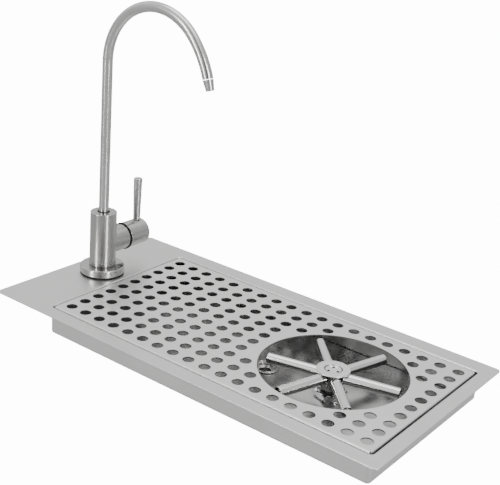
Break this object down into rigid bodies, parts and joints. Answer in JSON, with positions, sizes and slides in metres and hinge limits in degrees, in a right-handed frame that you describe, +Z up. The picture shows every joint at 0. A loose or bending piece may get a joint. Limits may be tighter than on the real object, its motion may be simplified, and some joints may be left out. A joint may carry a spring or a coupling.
{
  "type": "drip tray glass rinser with tap",
  "caption": "Drop-in stainless drip tray with lift-out perforated grate, push-down star glass rinser, drain and swivelling gooseneck tap.",
  "frame": {"origin": "underside of the flange (worktop plane), on the lengthwise centreline, 12 mm in from the tap-end edge", "axes": "+X along the tray from the tap to the rinser, +Y towards the tap's handle side, +Z up"},
  "size_m": [0.4, 0.202, 0.343],
  "materials": {
    "brushed_sheet": "brushed",
    "satin_steel": "satin",
    "tap_steel": "brushed",
    "bright_chrome": "polished",
    "brass": "machined",
    "black_rubber": "matt",
    "black_plastic": "matt",
    "ceramic": "ground ceramic",
    "spring_steel": "bright wire"
  },
  "bodies": {
    "tray": {"basin_tray": "brushed_sheet", "drain_body": "satin_steel", "drain_gasket": "black_rubber", "drain_nut": "black_plastic", "rinser_housing": "bright_chrome", "rinser_gasket": "black_rubber", "rinser_washer": "bright_chrome", "rinser_nut": "bright_chrome", "rinser_gland": "black_plastic", "gland_o_ring": "black_rubber", "rinser_inlet": "brass", "tap_gasket": "black_rubber", "tap_base_ring": "tap_steel", "tap_body": "tap_steel", "tap_shank": "brass", "shank_rubber_washer": "black_rubber", "shank_metal_washer": "satin_steel", "shank_lock_nut": "brass", "tap_inlet_adapter": "black_plastic", "inlet_collet": "black_plastic", "valve_cartridge": "brass", "fixed_ceramic_disc": "ceramic", "valve_ring": "black_rubber", "spout_bush": "black_plastic"},
    "grate": {"grate": "satin_steel"},
    "rinser_head": {"rinser_spring": "spring_steel", "rinser_stem": "satin_steel", "piston_seal": "black_rubber", "rinser_hub": "satin_steel", "rinser_cap": "satin_steel", "jet_insert": "satin_steel", "rinser_arm_1": "satin_steel", "rinser_arm_2": "satin_steel", "rinser_arm_3": "satin_steel", "rinser_arm_4": "satin_steel", "rinser_arm_5": "satin_steel", "rinser_arm_6": "satin_steel"},
    "handle": {"moving_ceramic_disc": "ceramic", "valve_spindle": "brass", "handle_hub": "tap_steel", "handle_lever": "tap_steel", "handle_grub_screw": "satin_steel"},
    "spout": {"spout_tube": "tap_steel", "spout_tip": "tap_steel", "spout_o_ring_upper": "black_rubber", "spout_o_ring_lower": "black_rubber", "spout_clip": "brass"}
  },
  "joints": [
    {"name": "grate_lift", "type": "slide", "parent": "tray", "child": "grate", "axis": [0, 0, 1], "range_m": [0, 0.025]},
    {"name": "rinser_press", "type": "slide", "parent": "tray", "child": "rinser_head", "axis": [0, 0, -1], "range_m": [0, 0.004], "stiffness_N_per_m": 1500, "springref_m": -0.004, "deforming": ["rinser_spring"]},
    {"name": "handle_turn", "type": "hinge", "parent": "tray", "child": "handle", "pos_m": [0.02, 0, 0.0312], "axis": [0, 1, 0], "range_deg": [0, 90]},
    {"name": "spout_swivel", "type": "hinge", "parent": "tray", "child": "spout", "pos_m": [0.02, 0, 0.0627], "axis": [0, 0, 1], "continuous": true}
  ]
}
